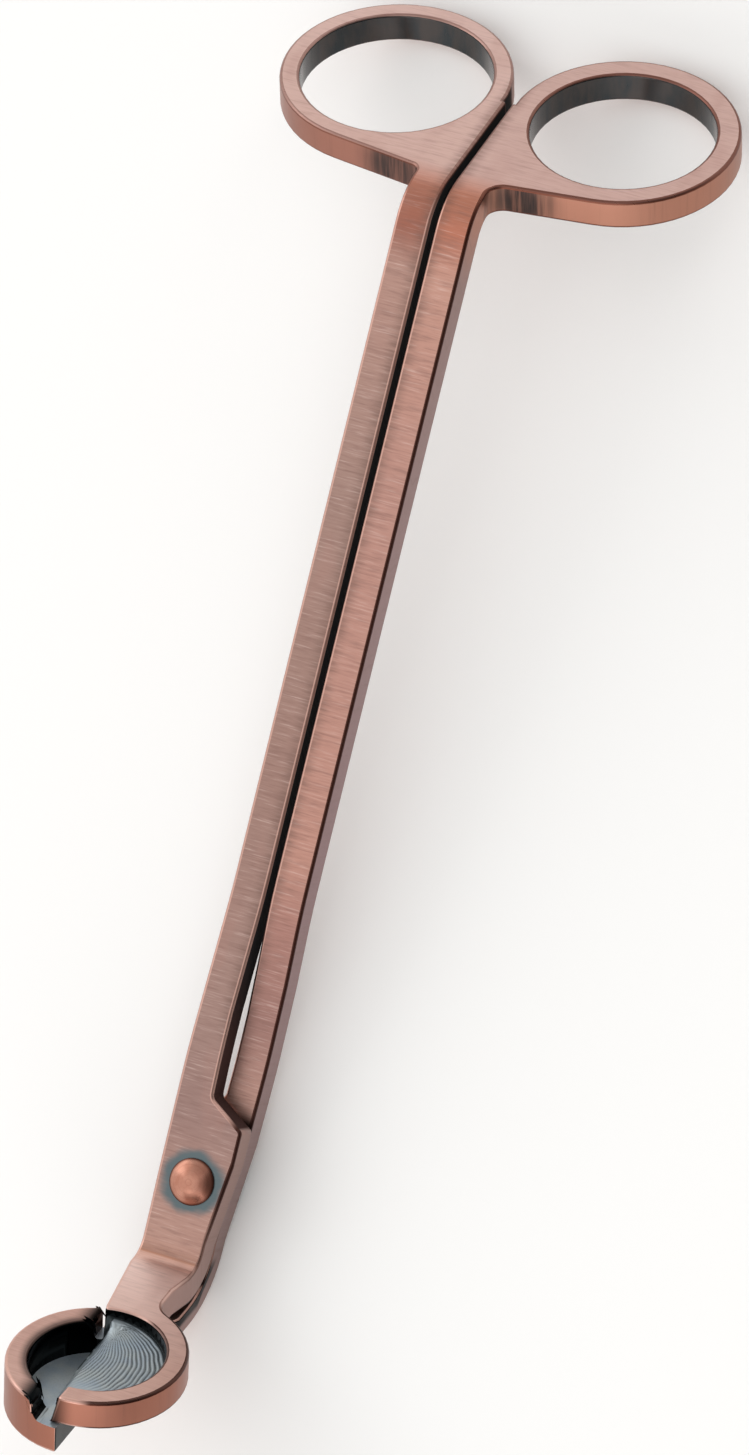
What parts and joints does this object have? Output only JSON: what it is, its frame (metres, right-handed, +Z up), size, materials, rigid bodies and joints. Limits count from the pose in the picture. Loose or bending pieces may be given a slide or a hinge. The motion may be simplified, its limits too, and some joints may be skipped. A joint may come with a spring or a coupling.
{
  "type": "candle wick trimmer",
  "caption": "Long bent scissors with two finger rings and a round cutting cup, which trims a candle's wick deep in its jar and catches the cut end.",
  "frame": {"origin": "on the table, under the middle of the tool as it lies on its ring tips and the bend of its head", "axes": "+Z up from the table, +Y along the tool from the cup to the finger rings, +X towards the tray lever's ring (to the right, seen from the rivet's head with the rings away)"},
  "size_m": [0.058, 0.1802, 0.0319],
  "materials": {
    "copper_plated_steel": "brushed antique copper plating with dark patina in the recesses",
    "rivet": "antique copper plating, turned and polished"
  },
  "bodies": {
    "tray": {"tray_lever": "copper_plated_steel", "pivot_rivet": "rivet"},
    "blade": {"blade_lever": "copper_plated_steel"}
  },
  "joints": [
    {"name": "blade_pivot", "type": "hinge", "parent": "tray", "child": "blade", "pos_m": [0, -0.05441, 0.00523], "axis": [0, -0.1586, 0.9873], "range_deg": [0, 30]}
  ]
}
